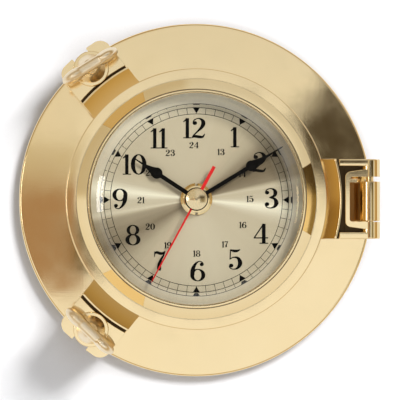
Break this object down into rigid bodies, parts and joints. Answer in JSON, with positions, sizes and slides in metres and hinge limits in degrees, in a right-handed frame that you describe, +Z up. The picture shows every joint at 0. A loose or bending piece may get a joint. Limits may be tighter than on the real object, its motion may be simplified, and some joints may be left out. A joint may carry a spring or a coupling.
{
  "type": "porthole clock",
  "caption": "Round brass porthole wall clock with a hinged glazed door, wing screw dogs, quartz movement, dial and hands.",
  "frame": {"origin": "centre of the flat back, in the plane that lies on the wall", "axes": "+Y into the wall, so the dial faces -Y; +Z up towards 12 o'clock; +X towards the hinge at 3 o'clock"},
  "size_m": [0.1535, 0.0464, 0.152],
  "materials": {
    "polished_brass": "mirror polished and lacquered",
    "satin_brass": "satin, turned",
    "dial": "champagne silver, brushed in rays from the centre",
    "black_paint": "satin black",
    "red_paint": "satin red",
    "glass": "clear, bevelled and polished",
    "rubber": "matt black",
    "black_plastic": "moulded, fine grain",
    "white_plastic": "moulded acetal",
    "steel": "plated, satin",
    "copper": "enamelled copper winding",
    "circuit_board": "green solder resist",
    "battery_wrap": "plain sleeve, no print"
  },
  "bodies": {
    "case": {"case_body": "polished_brass", "back_cover": "satin_brass", "back_cover_screw_1": "steel", "back_cover_screw_2": "steel", "back_cover_screw_3": "steel", "hinge_post": "polished_brass", "hinge_post_screw": "steel", "hinge_pin": "polished_brass", "upper_dog_lug": "polished_brass", "upper_dog_lug_screw": "steel", "lower_dog_lug": "polished_brass", "lower_dog_lug_screw": "steel", "case_gasket": "rubber", "dial_plate": "dial", "dial_retaining_ring": "satin_brass", "dial_washer": "rubber", "dial_nut": "polished_brass", "movement_case": "black_plastic", "movement_rear_cover": "black_plastic", "battery": "battery_wrap", "battery_contact_plus": "steel", "battery_contact_minus": "steel", "stator": "steel", "coil": "copper", "circuit_board": "circuit_board", "quartz_can": "steel"},
    "door": {"door_ring": "polished_brass", "glass": "glass", "glass_gasket": "rubber", "glass_retaining_ring": "satin_brass"},
    "upper_washer": {"upper_dog_washer": "polished_brass"},
    "upper_screw": {"upper_wing_screw": "polished_brass"},
    "lower_washer": {"lower_dog_washer": "polished_brass"},
    "lower_screw": {"lower_wing_screw": "polished_brass"},
    "seconds": {"seconds_arbor": "steel", "second_hand": "red_paint", "centre_cap": "polished_brass"},
    "intermediate": {"intermediate_wheel": "white_plastic"},
    "rotor": {"rotor": "steel"},
    "third": {"third_wheel": "white_plastic"},
    "centre": {"centre_wheel": "white_plastic"},
    "minutes": {"cannon_pinion": "white_plastic", "minute_hand": "black_paint"},
    "motion": {"motion_wheel": "white_plastic"},
    "hours": {"hour_wheel": "white_plastic", "hour_hand": "black_paint"},
    "setting": {"setting_stem": "white_plastic"}
  },
  "joints": [
    {"name": "door_hinge", "type": "hinge", "parent": "case", "child": "door", "pos_m": [0.0732, -0.0246, 0], "axis": [0, 0, 1], "range_deg": [0, 110]},
    {"name": "upper_screw_lift", "type": "slide", "parent": "door", "child": "upper_washer", "axis": [0, -1, 0], "range_m": [0, 0.0055]},
    {"name": "upper_screw_spin", "type": "hinge", "parent": "upper_washer", "child": "upper_screw", "pos_m": [-0.04437, -0.03, 0.05479], "axis": [0, -1, 0], "range_deg": [0, 990.5]},
    {"name": "lower_screw_lift", "type": "slide", "parent": "door", "child": "lower_washer", "axis": [0, -1, 0], "range_m": [0, 0.0055]},
    {"name": "lower_screw_spin", "type": "hinge", "parent": "lower_washer", "child": "lower_screw", "pos_m": [-0.04437, -0.03, -0.05479], "axis": [0, -1, 0], "range_deg": [0, 990.5]},
    {"name": "seconds_turn", "type": "hinge", "parent": "case", "child": "seconds", "pos_m": [0, -0.02, 0], "axis": [0, 1, 0], "continuous": true},
    {"name": "intermediate_turn", "type": "hinge", "parent": "case", "child": "intermediate", "pos_m": [-0.00939, -0.008, 0.00252], "axis": [0, 1, 0], "continuous": true},
    {"name": "rotor_turn", "type": "hinge", "parent": "case", "child": "rotor", "pos_m": [-0.01728, -0.009, -0.00036], "axis": [0, 1, 0], "continuous": true},
    {"name": "third_turn", "type": "hinge", "parent": "case", "child": "third", "pos_m": [-0.0019, -0.011, 0.0108], "axis": [0, 1, 0], "continuous": true},
    {"name": "centre_turn", "type": "hinge", "parent": "case", "child": "centre", "pos_m": [0, -0.012, 0], "axis": [0, 1, 0], "continuous": true},
    {"name": "minutes_turn", "type": "hinge", "parent": "case", "child": "minutes", "pos_m": [0, -0.02, 0], "axis": [0, 1, 0], "continuous": true},
    {"name": "motion_turn", "type": "hinge", "parent": "case", "child": "motion", "pos_m": [0.00932, -0.015, 0.00339], "axis": [0, 1, 0], "continuous": true},
    {"name": "hours_turn", "type": "hinge", "parent": "case", "child": "hours", "pos_m": [0, -0.02, 0], "axis": [0, 1, 0], "continuous": true},
    {"name": "setting_turn", "type": "hinge", "parent": "case", "child": "setting", "pos_m": [0.0197, -0.01, 0.00156], "axis": [0, 1, 0], "continuous": true}
  ],
  "couplings": [
    {"joint": "upper_screw_spin", "follows": "upper_screw_lift", "rad_per_m": 3141.6},
    {"joint": "lower_screw_spin", "follows": "lower_screw_lift", "rad_per_m": 3141.6},
    {"joint": "intermediate_turn", "follows": "seconds_turn", "ratio": -5},
    {"joint": "rotor_turn", "follows": "seconds_turn", "ratio": 30},
    {"joint": "third_turn", "follows": "seconds_turn", "ratio": -0.13333},
    {"joint": "centre_turn", "follows": "seconds_turn", "ratio": 0.016667},
    {"joint": "motion_turn", "follows": "minutes_turn", "ratio": -0.33333},
    {"joint": "hours_turn", "follows": "minutes_turn", "ratio": 0.083333},
    {"joint": "setting_turn", "follows": "minutes_turn", "ratio": 0.8}
  ]
}
